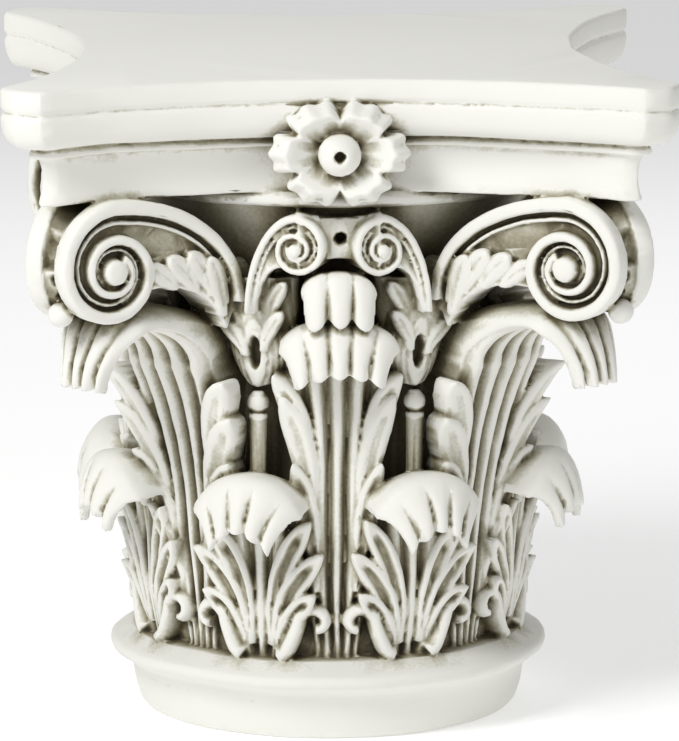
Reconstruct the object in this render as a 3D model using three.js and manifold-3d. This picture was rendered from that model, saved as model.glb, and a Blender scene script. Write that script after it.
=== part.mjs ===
import * as THREE from "three";
import { mergeVertices } from "three/addons/utils/BufferGeometryUtils.js";
import Module from "manifold-3d";

const wasm = await Module();
wasm.setup();

// A corinthian capital, cast in one piece. Lengths are in millimetres, angles in degrees.
// Z is the axis of the capital, the underside is at zero and the front looks along -Y.

// Whole capital
const capitalHeight = 450;
const sides = 4;
const finestEdge = 4;
const lap = 1;

// Abacus, the four-horned slab on top
const abacusHalfWidth = 220;
const hornCut = 26;
const sideHollow = 54;
const slabHeight = 16;
const ovoloHeight = 23;
const ovoloInset = 13;
const quirkDepth = 7;
const filletHeight = 4;
const fasciaHeight = 31;
const fasciaInset = 24.5;
const edgeRound = 3;
const hollowSteps = 8;

// Round foot
const footRadius = 124;
const footSplay = 5;
const footSplayHeight = 4;
const footBandRadius = 134;
const footBandHeight = 27;
const torusRadius = 149;
const torusHeight = 43;
const torusFall = 3;
const torusRise = 8;
const footHeight = 56;
const leafRingRadius = 126;
const leafRingEdge = 4;

// Bell behind the leaves
const bellRadius = 110;
const bellLipRadius = 154;
const bellLipHeight = 10;
const bellFlareHeight = 96;
const bellLipUndercut = 12;
const bellLipNeck = 8;
const bellSegments = 28;

// How far every leaf is rooted in the foot and the bell, and how far its edges fall back
const leafRoot = 4;
const leafEdgeFall = 7;

// Lower leaves, eight of them
const lowerLeaves = 8;
const lowerLeaf = {
  rise: 129,
  curlRise: 97,
  bodyRadius: 133,
  neckRadius: 139,
  crestRadius: 159,
  reach: 178,
  hood: 15,
  lip: 7,
  footWidth: 66,
  bodyWidth: 92,
  neckWidth: 66,
  hoodWidth: 74,
  tipWidth: 34,
  droop: 17,
  hang: 6,
  fluteDepth: 6,
  flutes: 3,
  bodySteps: 3,
  curlSteps: 3,
  start: 0,
};

// Tall leaves in the middle of each side
const middleLeaf = {
  rise: 234,
  curlRise: 205,
  bodyRadius: 134,
  neckRadius: 143,
  crestRadius: 164,
  reach: 178,
  hood: 14,
  lip: 7,
  footWidth: 36,
  bodyWidth: 56,
  neckWidth: 74,
  hoodWidth: 80,
  tipWidth: 52,
  droop: 12,
  hang: 5,
  fluteDepth: 6,
  flutes: 4,
  bodySteps: 3,
  curlSteps: 3,
  start: 0,
};

// Tall leaves under the horns
const cornerLeaf = {
  rise: 243,
  curlRise: 203,
  bodyRadius: 134,
  neckRadius: 168,
  crestRadius: 214,
  reach: 250,
  hood: 20,
  lip: 9,
  footWidth: 36,
  bodyWidth: 84,
  neckWidth: 96,
  hoodWidth: 78,
  tipWidth: 36,
  droop: 20,
  hang: 7,
  fluteDepth: 7,
  flutes: 4,
  bodySteps: 3,
  curlSteps: 3,
  start: 0,
};

// Small leaf above each middle leaf
const crownLeaf = {
  rise: 266,
  curlRise: 242,
  bodyRadius: 134,
  neckRadius: 150,
  crestRadius: 164,
  reach: 175,
  hood: 12,
  lip: 7,
  footWidth: 20,
  bodyWidth: 30,
  neckWidth: 44,
  hoodWidth: 50,
  tipWidth: 34,
  droop: 8,
  hang: 4,
  fluteDepth: 3,
  flutes: 2,
  bodySteps: 1,
  curlSteps: 3,
  start: 190,
};

// Corner scrolls, a pair under each horn
const cornerScroll = {
  eyeX: 146,
  eyeY: 184,
  eyeDrop: 46,
  turn: 30,
  hand: 1,
  radius: 47,
  shrink: 0.107,
  turns: 1.25,
  turnSteps: 8,
  stemX: 62,
  stemDrop: 66,
  bandWidth: 11,
  sink: 5,
  eyeRadius: 8,
  segments: 12,
  stalkWidth: 27,
};

// Small scrolls that meet at the middle of each side
const middleScroll = {
  eyeX: 29,
  eyeY: 158,
  eyeDrop: 37,
  turn: -17,
  hand: -1,
  radius: 24,
  shrink: 0.12,
  turns: 0.875,
  turnSteps: 8,
  stemX: 60,
  stemDrop: 72,
  bandWidth: 9,
  eyeRadius: 6,
  depth: 24,
};

// A corner scroll narrows to this share of its size between its two faces
const scrollWaist = 0.82;

// Foot of every scroll's stalk, set outward and down from its place on the stem
const stalkFootSide = 4;
const stalkFootDrop = 6;

// Stems with a bead and a cup, that the scrolls grow from
const stemAngle = 22.5;
const stemRadius = 134;
const stemRise = 166;
const stemThickness = 12;
const beadRadius = 7.5;
const cupRise = 256;
const cupFootWidth = 18;
const cupTopWidth = 52;
const cupDepth = 24;
const cupSeat = 8;

// Flower on the middle of each side of the abacus
const flowerWidth = 88;
const flowerHeight = 68;
const flowerDrop = 48;
const flowerReach = 17;
const flowerDish = 9;
const flowerRoot = 4;
const flowerBall = 13;
const flowerPetals = 7;

// Heights that follow from the sizes above
const ovoloBottom = capitalHeight - slabHeight - ovoloHeight;
const fasciaTop = ovoloBottom - quirkDepth / 2 - filletHeight;
const abacusBottom = fasciaTop - fasciaHeight;
const abacusWaist = abacusHalfWidth - sideHollow;

const radians = THREE.MathUtils.degToRad;
const { lerp, smoothstep } = THREE.MathUtils;

// Moves each point of a three.js shape to the place that a function gives it.
function shape(geometry, place) {
  const position = geometry.getAttribute("position");
  const point = new THREE.Vector3();
  for (let i = 0; i < position.count; i += 1) {
    point.fromBufferAttribute(position, i);
    position.setXYZ(i, ...place(point.x, point.y, point.z));
  }
  return geometry;
}

// Signed volume of a closed mesh: negative when its faces point inward.
function signedVolume(vertices, triangles) {
  const corners = [new THREE.Vector3(), new THREE.Vector3(), new THREE.Vector3()];
  let volume = 0;
  for (let i = 0; i < triangles.length; i += 3) {
    corners.forEach((corner, k) => corner.fromArray(vertices, 3 * triangles[i + k]));
    volume += corners[0].dot(corners[1].cross(corners[2])) / 6;
  }
  return volume;
}

// Turns a closed shape into a solid that can be joined and cut.
function solid(geometry) {
  const bare = geometry.clone();
  bare.deleteAttribute("normal");
  bare.deleteAttribute("uv");
  const merged = mergeVertices(bare, 1e-4);
  const vertProperties = new Float32Array(merged.getAttribute("position").array);
  const triVerts = new Uint32Array(merged.getIndex().array);
  if (signedVolume(vertProperties, triVerts) < 0) {
    triVerts.reverse();
  }
  return new wasm.Manifold(new wasm.Mesh({ numProp: 3, vertProperties, triVerts }));
}

// The same shape turned about the axis, or mirrored in the plane through the axis first.
function turned(geometry, angle, mirrored = false) {
  const copy = geometry.clone();
  if (mirrored) {
    copy.scale(-1, 1, 1);
  }
  return copy.rotateZ(radians(angle));
}

// A point at an angle from the front, counted towards +X.
function around(angle, radius, height) {
  return [radius * Math.sin(angle), -radius * Math.cos(angle), height];
}

// Half of one hollow side of the abacus, drawn inward by an inset. The share runs from the
// middle of the side at 0 to the end of the hollow at 1.
function hollowSide(share, inset) {
  const cut = hornCut - inset * (2 - Math.SQRT2);
  const reach = abacusHalfWidth - inset - cut;
  const radius = (reach * reach + sideHollow * sideHollow) / (2 * sideHollow);
  const x = share * reach;
  const y = abacusWaist - inset + radius - Math.sqrt(radius * radius - x * x);
  return [x, y];
}

// Outline of the abacus: hollow sides and cut horns.
function abacusPoint(angle, inset, height) {
  const quarter = Math.round(angle / (Math.PI / 2));
  const local = angle - quarter * (Math.PI / 2);
  const share = Math.abs(local) / (Math.PI / 4);
  const hollowShare = 1 - 2 / hollowSteps;
  const [x, y] = hollowSide(Math.min(share / hollowShare, 1), inset);
  const past = Math.max((share - hollowShare) / (1 - hollowShare), 0);
  const middle = (x + y) / 2;
  const bulge = edgeRound * Math.sin(past * Math.PI / 2);
  const side = new THREE.Vector2(lerp(x, middle, past) + bulge, -lerp(y, middle, past) - bulge);
  side.x *= Math.sign(local) || 1;
  side.rotateAround(new THREE.Vector2(), quarter * Math.PI / 2);
  return [side.x, side.y, height];
}

// Slab, ovolo, quirk, fillet and fascia, from the top down as inset and height.
function abacusProfile() {
  const slabBottom = capitalHeight - slabHeight;
  return [
    [edgeRound, capitalHeight],
    [0, capitalHeight - edgeRound],
    [0, slabBottom],
    [ovoloInset * 0.4, slabBottom - ovoloHeight * 0.7],
    [ovoloInset, ovoloBottom],
    [ovoloInset + quirkDepth, ovoloBottom - quirkDepth / 4],
    [ovoloInset + quirkDepth, fasciaTop + filletHeight / 2],
    [fasciaInset, fasciaTop],
    [fasciaInset, abacusBottom],
  ];
}

function abacus() {
  const profile = abacusProfile();
  const rows = profile.length - 1;
  const block = new THREE.CylinderGeometry(1, 1, rows, sides * hollowSteps, rows);
  return shape(block, (x, y, z) => {
    const [inset, height] = profile[Math.round(rows / 2 - y)];
    const radius = Math.hypot(x, z);
    if (radius < 0.5) {
      return [0, 0, height];
    }
    return abacusPoint(Math.atan2(x, z), inset, height);
  });
}

// Round foot and bell as one turned profile, from the underside up.
function bell() {
  const lipBottom = abacusBottom - bellLipHeight;
  const profile = [
    [0, 0],
    [footRadius, 0],
    [footRadius + footSplay, footSplayHeight],
    [footBandRadius, footBandHeight],
    [torusRadius, torusHeight],
    [torusRadius - torusFall, torusHeight + torusRise],
    [leafRingRadius + leafRingEdge, footHeight],
    [bellRadius, footHeight],
    [bellRadius, lipBottom - bellFlareHeight],
    [lerp(bellRadius, bellLipRadius, 0.3), lipBottom - bellFlareHeight * 0.4],
    [bellLipRadius - bellLipUndercut, lipBottom - bellLipNeck],
    [bellLipRadius, lipBottom],
    [bellLipRadius, abacusBottom + lap],
    [0, abacusBottom + lap],
  ];
  const points = profile.map(([radius, height]) => new THREE.Vector2(radius, height));
  return new THREE.LatheGeometry(points, bellSegments).rotateX(Math.PI / 2);
}

// Radius and height on the section of a leaf. The body rises to the neck in the first half
// of the way, and the curl turns out and over in the second half.
function leafSection(leaf, way, front) {
  const curlHeight = footHeight + leaf.curlRise;
  if (way <= 0.5) {
    const rise = way * 2;
    const bellyShare = Math.sin(Math.min(rise * 2, 1) * Math.PI / 2);
    const belly = (leaf.bodyRadius - leafRingRadius) * bellyShare;
    const flare = (leaf.neckRadius - leaf.bodyRadius) * rise ** 3;
    const radius = front ? leafRingRadius + belly + flare : bellRadius - leafRoot;
    return [radius, lerp(footHeight - leafRoot + leaf.start, curlHeight, rise)];
  }
  const angle = Math.PI * (1 - (way * 2 - 1) ** 0.8);
  const thickness = front ? lerp(leaf.hood, leaf.lip, smoothstep(Math.cos(angle), 0, 1)) : 0;
  const inner = front ? leaf.neckRadius : bellRadius - leafRoot;
  const outer = leaf.reach - thickness;
  const spread = Math.cos(angle) < 0 ? leaf.crestRadius - inner : outer - leaf.crestRadius;
  const lift = footHeight + leaf.rise - thickness - curlHeight;
  return [leaf.crestRadius + spread * Math.cos(angle), curlHeight + lift * Math.sin(angle)];
}

// Half width of a leaf on its way from foot to tip.
function leafHalfWidth(leaf, way) {
  const body = lerp(leaf.footWidth, leaf.bodyWidth, smoothstep(way, 0, 0.2));
  const neck = lerp(body, leaf.neckWidth, smoothstep(way, 0.3, 0.5));
  const hood = lerp(neck, leaf.hoodWidth, smoothstep(way, 0.5, 0.65));
  const tip = lerp(hood, leaf.tipWidth, smoothstep(way, 0.75, 1));
  return tip / 2;
}

// A leaf with hollow flutes between its ribs, a broad hood and a hanging tip.
function leafShape(leaf) {
  const steps = leaf.bodySteps + leaf.curlSteps;
  const block = new THREE.BoxGeometry(2, steps, 1, leaf.flutes * 2, steps, 1);
  return shape(block, (across, along, out) => {
    const step = along + steps / 2;
    const inCurl = step > leaf.bodySteps;
    const curlWay = 0.5 + (step - leaf.bodySteps) / leaf.curlSteps / 2;
    const way = inCurl ? curlWay : step / leaf.bodySteps / 2;
    const front = out > 0;
    const [radius, height] = leafSection(leaf, way, front);
    const curl = smoothstep(way, 0.45, 0.75);
    const flute = (1 - Math.cos(across * leaf.flutes * Math.PI)) / 2;
    const relief = leaf.fluteDepth * flute * (front ? 1 - curl : curl * 0.5);
    const fall = front ? leafEdgeFall * across ** 4 * (1 - curl) : 0;
    const sideways = across * leafHalfWidth(leaf, way);
    const wrap = Math.max(leafSection(leaf, way, true)[0], leaf.bodyRadius);
    const drop = leaf.droop * across * across * curl + leaf.hang * smoothstep(way, 0.8, 1);
    return around(sideways / wrap, radius - relief * (1 - curl) - fall, height - drop - relief * curl);
  });
}

// Maps a place on the face of a scroll, counted from its eye, into the capital.
function scrollPlace(scroll, across, up, out) {
  const turn = radians(scroll.turn);
  const x = scroll.eyeX + across * scroll.hand * Math.cos(turn) - out * Math.sin(turn);
  const y = scroll.eyeY + across * scroll.hand * Math.sin(turn) + out * Math.cos(turn);
  return [x, -y, abacusBottom - scroll.eyeDrop + up];
}

// Outer radius of a scroll after an angle in radians from its top.
function scrollRadius(scroll, angle) {
  return scroll.radius * Math.exp(-scroll.shrink * angle);
}

// Outer edge of a scroll: up the stem, over the top and round into the eye.
function scrollEdge(scroll) {
  const stemAcross = (scroll.stemX - scroll.eyeX) * scroll.hand / Math.cos(radians(scroll.turn));
  const stemUp = scroll.eyeDrop - scroll.stemDrop;
  const points = [
    new THREE.Vector2(stemAcross - stalkFootSide, stemUp - stalkFootDrop),
    new THREE.Vector2(stemAcross, stemUp + scroll.stemDrop * 0.35),
    new THREE.Vector2(stemAcross * 0.62, scroll.radius * 0.82),
  ];
  const steps = Math.round(scroll.turns * scroll.turnSteps);
  for (let i = 0; i <= steps; i += 1) {
    const angle = scroll.turns * 2 * Math.PI * i / steps;
    const radius = scrollRadius(scroll, angle);
    points.push(new THREE.Vector2(radius * Math.sin(angle), radius * Math.cos(angle)));
  }
  return new THREE.SplineCurve(points);
}

// Places on the edge of a scroll: a share of the way, and a distance inward from the edge.
function scrollInside(edge, way, inward) {
  const point = edge.getPoint(way);
  const tangent = edge.getTangent(way);
  return [point.x + tangent.y * inward, point.y - tangent.x * inward];
}

// Raised band that follows the edge of a scroll. The place function sets how deep it runs.
function scrollBand(scroll, layers, place) {
  const edge = scrollEdge(scroll);
  const steps = edge.points.length - 1;
  const band = new THREE.BoxGeometry(1, 1, 1, 1, steps, layers);
  return shape(band, (across, along, out) => {
    const way = along + 0.5;
    const inward = scroll.bandWidth * lerp(1, 0.5, way) * (0.5 - across);
    return place(...scrollInside(edge, way, inward), 0.5 - out);
  });
}

// Sunk face of a scroll within its band, as a flat drum.
function scrollDrum(scroll, place) {
  const drum = new THREE.CylinderGeometry(1, 1, 1, scroll.segments, 1);
  return shape(drum, (x, y, z) => {
    const angle = (Math.atan2(x, z) + 2 * Math.PI) % (2 * Math.PI);
    const closing = smoothstep(angle, 1.5 * Math.PI, 2 * Math.PI);
    const rim = lerp(scrollRadius(scroll, angle), scroll.radius, closing) - scroll.bandWidth * 0.5;
    const radius = rim * Math.hypot(x, z);
    return place(radius * Math.sin(angle), radius * Math.cos(angle), 0.5 - y);
  });
}

// Sunk face of the stalk between the cup and the top of a scroll.
function scrollStalk(scroll, place) {
  const edge = scrollEdge(scroll);
  const topWay = 3 / (edge.points.length - 1);
  const stalk = new THREE.BoxGeometry(1, 1, 1, 1, 3, 1);
  return shape(stalk, (across, along, out) => {
    const fullWidth = lerp(scroll.stalkWidth * 0.5, scroll.stalkWidth, along + 0.5);
    const inward = lerp(fullWidth, scroll.bandWidth * 0.5, across + 0.5);
    return place(...scrollInside(edge, (along + 0.5) * topWay, inward), 0.5 - out);
  });
}

function scrollEye(scroll, place) {
  const peg = new THREE.CylinderGeometry(scroll.eyeRadius, scroll.eyeRadius, 1, 6, 1);
  return shape(peg, (x, y, z) => place(x, -z, 0.5 - y));
}

// The pair of scrolls under one horn, each running across from face to face.
function cornerScrolls() {
  const across = (sink) => (side, up, share) => {
    const waist = lerp(1, scrollWaist, 1 - Math.abs(share * 2 - 1));
    const [x, y, height] = scrollPlace(cornerScroll, side * waist, up * waist, -sink);
    const [mirrorX, mirrorY] = [-y, -x];
    return [lerp(x, mirrorX, share), lerp(y, mirrorY, share), height];
  };
  return [
    scrollBand(cornerScroll, 2, across(0)),
    scrollDrum(cornerScroll, across(cornerScroll.sink)),
    scrollStalk(cornerScroll, across(cornerScroll.sink * 1.2)),
    scrollEye(cornerScroll, across(-lap)),
  ];
}

// The two small scrolls in the middle of the front, and the web between them.
function middleScrolls() {
  const inward = (sink) => (side, up, share) => {
    return scrollPlace(middleScroll, side, up, -lerp(sink, middleScroll.depth, share));
  };
  const parts = [
    scrollBand(middleScroll, 1, inward(0)),
    scrollEye(middleScroll, inward(lap)),
  ];
  const mirrored = parts.map((part) => turned(part, 0, true));
  const web = new THREE.SphereGeometry(1, 6, 3);
  const webHeight = abacusBottom - middleScroll.eyeDrop;
  web.scale(middleScroll.eyeX, middleScroll.depth * 0.7, middleScroll.radius * 0.8);
  web.translate(0, -middleScroll.eyeY + middleScroll.depth * 0.5, webHeight);
  return [...parts, ...mirrored, web];
}

// Stem, bead and cup between a middle leaf and a corner leaf.
function stem() {
  const beadHeight = footHeight + stemRise + beadRadius;
  const stemFoot = footHeight + lowerLeaf.curlRise;
  const profile = [
    [0, stemFoot],
    [stemThickness / 3, stemFoot],
    [stemThickness / 2, beadHeight - beadRadius],
    [beadRadius, beadHeight],
    [stemThickness / 3, beadHeight + beadRadius],
    [0, beadHeight + beadRadius],
  ];
  const points = profile.map(([radius, height]) => new THREE.Vector2(radius, height));
  const shaft = new THREE.LatheGeometry(points, 6).rotateX(Math.PI / 2);
  shaft.translate(0, -stemRadius - lap, 0);
  const cup = new THREE.BoxGeometry(2, 1, 1, 2, 2, 1);
  shape(cup, (across, along, out) => {
    const way = along + 0.5;
    const height = lerp(beadHeight + beadRadius * 0.6, footHeight + cupRise, way);
    const halfWidth = lerp(cupFootWidth, cupTopWidth, Math.sin(way * Math.PI / 2)) / 2;
    const bulge = cupDepth * Math.sqrt(1 - 0.8 * across * across) * lerp(0.5, 1, way);
    const radius = out > 0 ? stemRadius - cupSeat + bulge : bellRadius - leafRoot;
    return around(across * halfWidth / stemRadius, radius, height);
  });
  return [shaft, cup].map((part) => turned(part, stemAngle));
}

// Flower with scalloped petals around a ball, on the front side of the abacus.
function flower() {
  const height = capitalHeight - flowerDrop;
  const petals = new THREE.CylinderGeometry(1, 1, 1, flowerPetals * 2, 1);
  shape(petals, (x, y, z) => {
    const angle = Math.atan2(x, z);
    const rim = Math.hypot(x, z);
    const front = y + 0.5;
    const lobe = 0.86 + 0.14 * Math.cos(angle * flowerPetals);
    const spread = rim * lobe * lerp(0.55, 1, smoothstep(front, 0, 0.6));
    const depth = lerp(-fasciaInset - flowerRoot, flowerReach, front) - (1 - rim) * front * flowerDish;
    const across = Math.sin(angle) * spread * flowerWidth / 2;
    const up = Math.cos(angle) * spread * flowerHeight / 2;
    return [across, -(abacusWaist + depth), height + up];
  });
  const ball = new THREE.SphereGeometry(flowerBall, 6, 4);
  ball.translate(0, -(abacusWaist + flowerReach - flowerDish), height);
  return [petals, ball];
}

// Everything that repeats on each side, for one side of the capital.
function oneSide() {
  const leaves = [
    turned(leafShape(middleLeaf), 0),
    turned(leafShape(crownLeaf), 0),
    turned(leafShape(cornerLeaf), 45),
  ];
  const right = stem();
  const left = right.map((part) => turned(part, 0, true));
  return [...leaves, ...right, ...left, ...middleScrolls(), ...cornerScrolls(), ...flower()];
}

// The whole capital as one solid.
function capitalSolid() {
  const parts = [solid(bell()), solid(abacus())];
  const leaf = leafShape(lowerLeaf);
  for (let i = 0; i < lowerLeaves; i += 1) {
    parts.push(solid(turned(leaf, (i + 0.5) * 360 / lowerLeaves)));
  }
  const side = oneSide();
  for (let i = 0; i < sides; i += 1) {
    for (const part of side) {
      parts.push(solid(turned(part, i * 360 / sides)));
    }
  }
  return parts.reduce((whole, part) => whole.add(part));
}

// Surface of a solid as corner points, triangles and the triangles that meet at each point.
function surfaceOf(body) {
  const mesh = body.getMesh();
  const points = [];
  for (let i = 0; i < mesh.vertProperties.length; i += 3) {
    points.push(new THREE.Vector3().fromArray(mesh.vertProperties, i));
  }
  const triangles = [];
  for (let i = 0; i < mesh.triVerts.length; i += 3) {
    triangles.push(Array.from(mesh.triVerts.subarray(i, i + 3)));
  }
  const meeting = points.map(() => new Set());
  triangles.forEach((corners) => corners.forEach((corner) => meeting[corner].add(corners)));
  return { points, triangles, meeting };
}

function facing(points, corners) {
  return new THREE.Triangle(...corners.map((corner) => points[corner])).getNormal(new THREE.Vector3());
}

// Moves one end of a short edge onto the other, if the surface stays closed and no face
// around it turns by more than about sixty degrees.
function closeEdge({ points, meeting }, kept, gone) {
  const near = (corner) => new Set([...meeting[corner]].flat());
  const besideKept = near(kept);
  const shared = [...near(gone)].filter((corner) => besideKept.has(corner));
  if (shared.length !== 4) {
    return false;
  }
  const moved = [...meeting[gone]].filter((corners) => !corners.includes(kept));
  for (const corners of moved) {
    const after = corners.map((corner) => (corner === gone ? kept : corner));
    if (facing(points, corners).dot(facing(points, after)) < 0.5) {
      return false;
    }
  }
  for (const corners of [...meeting[gone]]) {
    corners.forEach((corner) => meeting[corner].delete(corners));
    if (!corners.includes(kept)) {
      corners[corners.indexOf(gone)] = kept;
      corners.forEach((corner) => meeting[corner].add(corners));
    }
  }
  return true;
}

// Closes the slivers that joining leaves, so that no edge is much shorter than a length.
function withoutSlivers(body, shortest) {
  const surface = surfaceOf(body);
  const { points, meeting } = surface;
  for (let limit = shortest / 4; limit <= shortest; limit *= 2) {
    for (const corners of surface.triangles) {
      for (let i = 0; i < 3; i += 1) {
        const [kept, gone] = [corners[i], corners[(i + 1) % 3]];
        const present = meeting[kept].has(corners) && meeting[gone].has(corners);
        if (present && points[kept].distanceTo(points[gone]) < limit) {
          closeEdge(surface, kept, gone);
        }
      }
    }
  }
  const left = surface.triangles.filter((corners) => meeting[corners[0]].has(corners));
  return { points, triangles: left };
}

function meshGeometry({ points, triangles }) {
  const geometry = new THREE.BufferGeometry().setFromPoints(points);
  geometry.setIndex(triangles.flat());
  geometry.computeVertexNormals();
  return geometry;
}

const castStone = new THREE.MeshStandardMaterial({ color: 0xded9c6, roughness: 0.72 });
const surface = withoutSlivers(capitalSolid(), finestEdge);
const capital = new THREE.Mesh(meshGeometry(surface), castStone);
capital.name = "capital";

const group = new THREE.Group();
group.add(capital);

export default group;
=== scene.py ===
from functools import partial
from math import atan2, cos, degrees, exp, hypot, pi, radians, sin, sqrt

import bmesh
import bpy
from mathutils import Matrix, Vector, noise
from mathutils.bvhtree import BVHTree


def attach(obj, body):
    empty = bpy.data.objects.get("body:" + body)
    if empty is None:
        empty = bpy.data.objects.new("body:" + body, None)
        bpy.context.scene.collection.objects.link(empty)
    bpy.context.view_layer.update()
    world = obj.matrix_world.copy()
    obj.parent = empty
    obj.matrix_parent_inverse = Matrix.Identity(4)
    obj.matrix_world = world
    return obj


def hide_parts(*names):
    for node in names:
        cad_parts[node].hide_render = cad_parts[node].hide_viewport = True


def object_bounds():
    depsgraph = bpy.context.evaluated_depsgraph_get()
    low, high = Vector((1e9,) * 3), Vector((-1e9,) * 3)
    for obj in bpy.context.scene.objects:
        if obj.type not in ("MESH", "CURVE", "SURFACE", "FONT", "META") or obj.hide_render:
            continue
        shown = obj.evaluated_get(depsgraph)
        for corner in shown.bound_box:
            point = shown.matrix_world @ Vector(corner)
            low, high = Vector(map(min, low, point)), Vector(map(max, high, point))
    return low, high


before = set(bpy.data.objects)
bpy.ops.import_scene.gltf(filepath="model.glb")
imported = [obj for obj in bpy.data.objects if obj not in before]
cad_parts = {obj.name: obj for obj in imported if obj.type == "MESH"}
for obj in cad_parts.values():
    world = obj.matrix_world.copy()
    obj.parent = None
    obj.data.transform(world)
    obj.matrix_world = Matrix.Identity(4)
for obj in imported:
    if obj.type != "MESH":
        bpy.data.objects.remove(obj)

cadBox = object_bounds()
mm = 0.001
scene = bpy.context.scene
print("frame loaded")


# Small helpers for numbers

def mix(low, high, share):
    return low + (high - low) * share


def smoothStep(value, low, high):
    share = min(max((value - low) / (high - low), 0.0), 1.0)
    return share * share * (3 - 2 * share)


def around(angle, radius, height):
    return Vector((radius * sin(angle), -radius * cos(angle), height))


def swapped(point):
    # mirror image in the upright plane through the right front horn
    return Vector((-point.y, -point.x, point.z))


# Two closed starting shapes. The place function gets a point of the plain shape and
# returns its place on the capital.

def block(across, along, place):
    bm = bmesh.new()
    grid = bmesh.ops.create_grid(bm, x_segments=across, y_segments=along, size=1)
    copy = bmesh.ops.extrude_face_region(bm, geom=list(bm.faces), use_keep_orig=True)
    back = [item for item in copy["geom"] if isinstance(item, bmesh.types.BMVert)]
    for vert in back:
        vert.co = place(vert.co.x, vert.co.y, 0)
    for vert in grid["verts"]:
        vert.co = place(vert.co.x, vert.co.y, 1)
    return bm


def tower(segments, levels, place):
    bm = bmesh.new()
    bmesh.ops.create_circle(bm, segments=segments, radius=1, cap_ends=True)
    edges = list(bm.edges)
    for _ in range(levels):
        up = bmesh.ops.extrude_edge_only(bm, edges=edges)["geom"]
        verts = {item for item in up if isinstance(item, bmesh.types.BMVert)}
        added = [item for item in up if isinstance(item, bmesh.types.BMEdge)]
        edges = [edge for edge in added if verts.issuperset(edge.verts)]
        bmesh.ops.translate(bm, verts=list(verts), vec=(0, 0, 1))
    bmesh.ops.contextual_create(bm, geom=edges)
    for vert in bm.verts:
        vert.co = place(atan2(vert.co.x, -vert.co.y), round(vert.co.z))
    return bm


def addForm(whole, form, turns=(0,), hands=(1,)):
    # puts copies of a form round the axis, hand -1 being its mirror image
    bmesh.ops.recalc_face_normals(form, faces=form.faces)
    mesh = bpy.data.meshes.new("form")
    form.to_mesh(mesh)
    form.free()
    for turn in turns:
        for hand in hands:
            copy = mesh.copy()
            mirror = Matrix.Diagonal((hand, 1, 1, 1))
            copy.transform(Matrix.Rotation(radians(turn), 4, "Z") @ mirror)
            if hand < 0:
                copy.flip_normals()
            whole.from_mesh(copy)
            bpy.data.meshes.remove(copy)
    bpy.data.meshes.remove(mesh)


fourSides = (0, 90, 180, 270)
fourCorners = (45, 135, 225, 315)


# Slab with four horns

slab = {
    "height": 450 * mm,
    "halfWidth": 220 * mm,
    "hornCut": 26 * mm,
    "hollow": 54 * mm,
    "bandHeight": 16 * mm,
    "ovoloHeight": 23 * mm,
    "ovoloInset": 13 * mm,
    "quirk": 7 * mm,
    "fillet": 4 * mm,
    "fasciaHeight": 31 * mm,
    "fasciaInset": 24.5 * mm,
    "fasciaHollow": 3 * mm,
    "filletOut": 2 * mm,
    "round": 3 * mm,
    "seam": [(0, 3.5 * mm), (0.5 * mm, 2 * mm), (2.4 * mm, 0.7 * mm)],  # inset, half height
    "ovoloFall": 2.2, "ovoloRise": 1.2,
    "hornBulge": 1.6, "hornRound": 2 * mm,
    "steps": 48, "hornSteps": 8,
}
slab["bandBottom"] = slab["height"] - slab["bandHeight"]
slab["ovoloBottom"] = slab["bandBottom"] - slab["ovoloHeight"]
slab["fasciaTop"] = slab["ovoloBottom"] - slab["quirk"] / 2 - slab["fillet"]
slab["bottom"] = slab["fasciaTop"] - slab["fasciaHeight"]
slab["waist"] = slab["halfWidth"] - slab["hollow"]


def slabProfile():
    # inset and height from the top down
    top, band, ovolo = slab["height"], slab["bandBottom"], slab["ovoloBottom"]
    edge, inset, quirk = slab["round"], slab["ovoloInset"], slab["quirk"]
    edgeSteps, ovoloSteps, fasciaSteps = 5, 7, 6
    rows = [(edge * 2.2, top)]
    for step in range(edgeSteps + 1):
        angle = step / edgeSteps * pi / 2
        rows.append((edge * (1 - sin(angle)), top - edge * (1 - cos(angle))))
    rows += [(sunk, band + away) for sunk, away in slab["seam"]]
    rows += [(sunk, band - away) for sunk, away in reversed(slab["seam"])]
    ovoloTop = rows[-1][1]
    for step in range(1, ovoloSteps + 1):
        share = step / ovoloSteps
        fall = sin(share * pi / 2) ** slab["ovoloRise"]
        rows.append((inset * share ** slab["ovoloFall"], mix(ovoloTop, ovolo, fall)))
    fascia, fasciaTop, bottom = slab["fasciaInset"], slab["fasciaTop"], slab["bottom"]
    fillet = inset + quirk - slab["filletOut"]
    rows += [(inset + quirk, ovolo - 0.5 * mm), (inset + quirk, ovolo - 2.5 * mm)]
    rows += [(fillet, fasciaTop + 3 * mm), (fillet, fasciaTop + 0.5 * mm)]
    for step in range(fasciaSteps + 1):
        share = step / fasciaSteps
        hollow = slab["fasciaHollow"] * sin(share * pi)
        rows.append((fascia + hollow, mix(fasciaTop, bottom + 1 * mm, share)))
    rows.append((fascia + 1 * mm, bottom))
    return rows


def hollowSide(share, inset):
    cut = slab["hornCut"] - inset * (2 - sqrt(2))
    reach = slab["halfWidth"] - inset - cut
    radius = (reach ** 2 + slab["hollow"] ** 2) / (2 * slab["hollow"])
    x = share * reach
    return x, slab["waist"] - inset + radius - sqrt(radius ** 2 - x ** 2)


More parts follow.
